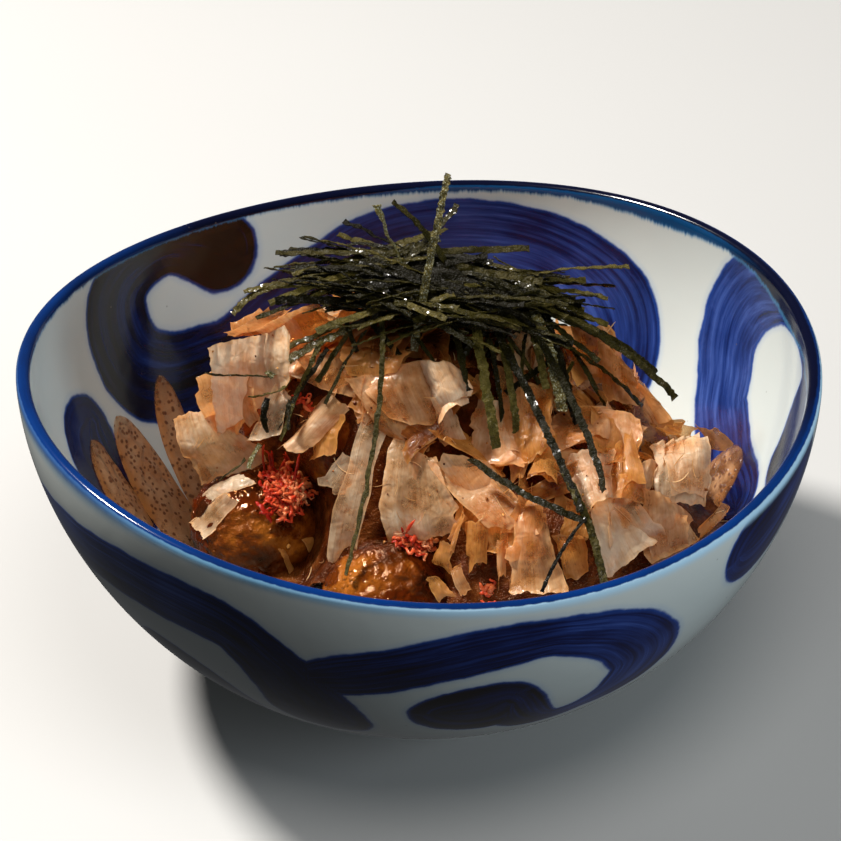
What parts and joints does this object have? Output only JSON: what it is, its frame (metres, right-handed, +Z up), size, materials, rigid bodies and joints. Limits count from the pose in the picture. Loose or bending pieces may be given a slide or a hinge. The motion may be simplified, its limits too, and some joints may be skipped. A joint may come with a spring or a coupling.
{
  "type": "bowl of takoyaki balls",
  "caption": "Deep porcelain bowl with a waved rim, holding takoyaki balls under a heap of bonito flakes and a nest of nori shreds, with ginger and mayonnaise streaks.",
  "frame": {"origin": "middle of the foot ring's underside", "axes": "+Z up, -Y towards the side where the two bare balls and the ginger show, +X to the right of that side"},
  "size_m": [0.21, 0.21, 0.1391],
  "materials": {
    "porcelain": "gloss",
    "batter": "gloss",
    "bonito": "satin",
    "nori": "satin",
    "ginger": "gloss",
    "mayonnaise": "satin"
  },
  "bodies": {
    "root": {"bowl": "porcelain", "takoyaki_1": "batter", "takoyaki_2": "batter", "takoyaki_3": "batter", "takoyaki_4": "batter", "takoyaki_5": "batter", "takoyaki_6": "batter", "takoyaki_7": "batter", "bonito_flakes": "bonito", "nori_shreds": "nori"}
  },
  "joints": []
}
